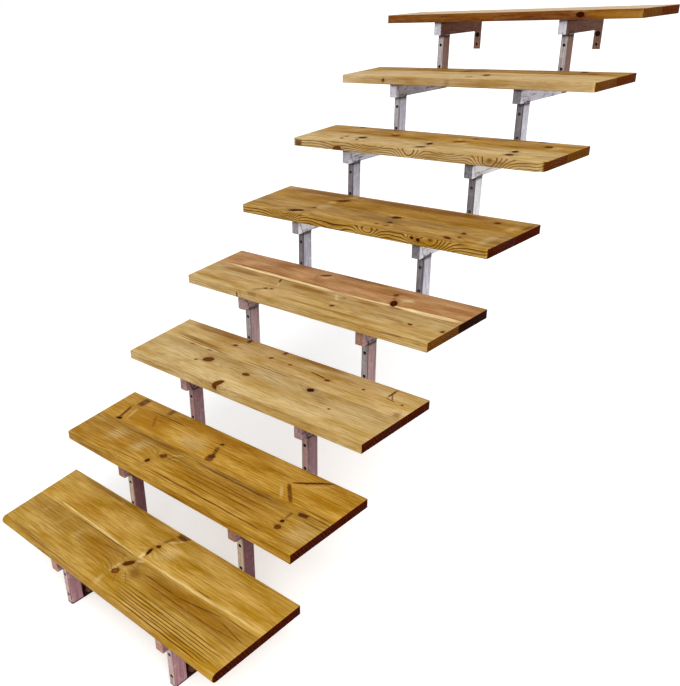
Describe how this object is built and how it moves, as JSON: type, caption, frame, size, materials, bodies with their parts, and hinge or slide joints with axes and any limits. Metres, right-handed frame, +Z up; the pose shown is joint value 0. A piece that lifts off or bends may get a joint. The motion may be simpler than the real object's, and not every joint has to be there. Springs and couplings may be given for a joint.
{
  "type": "outdoor staircase",
  "caption": "Straight open-riser outdoor stair flight: timber plank treads carried by two rows of folded steel step brackets, with ground plates below and wall tabs on top.",
  "frame": {"origin": "on the flat rear face of the right-hand top wall tab, on that bracket's centre line and at the middle of its arm's height", "axes": "+Y is the way up, towards the wall; +X is to the right of someone walking up; +Z is up"},
  "size_m": [0.992, 2.12, 1.466],
  "materials": {
    "timber": "satin clear-treated pine",
    "steel": "dull galvanised"
  },
  "bodies": {
    "root": {"tread_1": "timber", "tread_2": "timber", "tread_3": "timber", "tread_4": "timber", "tread_5": "timber", "tread_6": "timber", "tread_7": "timber", "tread_8": "timber", "left_arm_1": "steel", "left_arm_2": "steel", "left_arm_3": "steel", "left_arm_4": "steel", "left_arm_5": "steel", "left_arm_6": "steel", "left_arm_7": "steel", "left_arm_8": "steel", "right_arm_1": "steel", "right_arm_2": "steel", "right_arm_3": "steel", "right_arm_4": "steel", "right_arm_5": "steel", "right_arm_6": "steel", "right_arm_7": "steel", "right_arm_8": "steel", "left_post_1": "steel", "left_post_2": "steel", "left_post_3": "steel", "left_post_4": "steel", "left_post_5": "steel", "left_post_6": "steel", "left_post_7": "steel", "left_post_8": "steel", "right_post_1": "steel", "right_post_2": "steel", "right_post_3": "steel", "right_post_4": "steel", "right_post_5": "steel", "right_post_6": "steel", "right_post_7": "steel", "right_post_8": "steel", "left_foot": "steel", "right_foot": "steel"}
  },
  "joints": []
}
